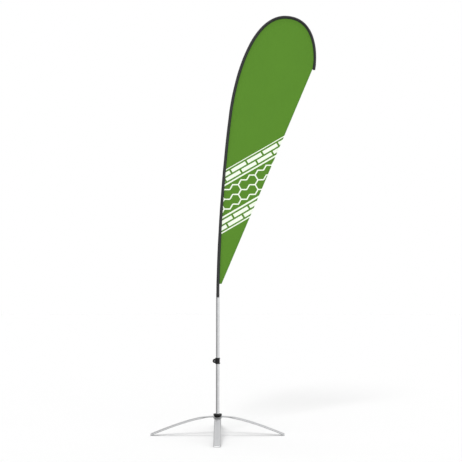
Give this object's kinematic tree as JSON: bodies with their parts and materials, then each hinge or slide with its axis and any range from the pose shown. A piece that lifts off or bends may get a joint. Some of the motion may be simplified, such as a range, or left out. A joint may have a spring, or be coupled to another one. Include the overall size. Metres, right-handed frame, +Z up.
{
  "type": "teardrop flag",
  "caption": "Teardrop banner on a bent pole: folding cross base, free-turning bearing socket, lift-out pole sections, sliding tension clip and a slanted cloth flag.",
  "frame": {"origin": "on the floor, on the pole's axis, midway between the four soles", "axes": "+Z up the pole; the flag hangs towards +X and its face looks along -Y; +Y is behind"},
  "size_m": [1.0615, 0.8394, 2.7043],
  "materials": {
    "painted_bar": "satin silver-grey powder coat",
    "white_plastic": "moulded, satin",
    "black_plastic": "moulded, fine grain",
    "bright_steel": "zinc plated",
    "pale_nylon": "natural nylon",
    "aluminium_tube": "drawn and satin anodised",
    "glass_fibre": "pultruded rod, satin",
    "soft_rubber": "plain",
    "sleeve_fabric": "close woven polyester",
    "flag_fabric": "printed knitted polyester"
  },
  "bodies": {
    "base": {"lower_crossbar": "painted_bar", "foot_cap_front": "white_plastic", "foot_cap_back": "white_plastic", "bar_washer": "black_plastic", "spindle": "bright_steel", "spring_washer": "bright_steel", "spindle_nut": "bright_steel", "spindle_clip": "bright_steel", "bearing_inner": "bright_steel", "bearing_balls": "bright_steel"},
    "cross_arm": {"upper_crossbar": "painted_bar", "foot_cap_left": "white_plastic", "foot_cap_right": "white_plastic"},
    "socket": {"bearing_outer": "bright_steel", "collar": "black_plastic", "collar_clip": "bright_steel", "spigot": "bright_steel", "spigot_bush": "pale_nylon"},
    "lower_pole": {"pole_tube": "aluminium_tube", "tube_bush": "black_plastic"},
    "flag_and_rods": {"rod_lower": "glass_fibre", "ferrule_lower": "bright_steel", "rod_middle": "glass_fibre", "ferrule_upper": "bright_steel", "rod_tip": "glass_fibre", "tip_cap": "soft_rubber", "pole_sleeve": "sleeve_fabric", "sleeve_cuff": "sleeve_fabric", "sleeve_end": "sleeve_fabric", "flag_cloth": "flag_fabric", "flag_hem": "flag_fabric"},
    "tension_clip": {"clip_collar": "black_plastic", "clip_nut": "bright_steel"},
    "clip_bolt": {"clip_screw": "bright_steel"}
  },
  "joints": [
    {"name": "base_fold", "type": "hinge", "parent": "base", "child": "cross_arm", "pos_m": [0, 0, 0.109], "axis": [0, 0, 1], "range_deg": [-54, 54]},
    {"name": "flag_swivel", "type": "hinge", "parent": "base", "child": "socket", "pos_m": [0, 0, 0.119], "axis": [0, 0, 1], "continuous": true},
    {"name": "pole_lift", "type": "slide", "parent": "socket", "child": "lower_pole", "axis": [0, 0, 1], "range_m": [0, 0.11]},
    {"name": "rod_lift", "type": "slide", "parent": "lower_pole", "child": "flag_and_rods", "axis": [0, 0, 1], "range_m": [0, 0.11]},
    {"name": "clip_slide", "type": "slide", "parent": "lower_pole", "child": "tension_clip", "axis": [0, 0, 1], "range_m": [-0.3, 0.37]},
    {"name": "clip_screw_turn", "type": "hinge", "parent": "tension_clip", "child": "clip_bolt", "pos_m": [-0.0196, 0, 0.461], "axis": [0, 1, 0], "continuous": true}
  ]
}
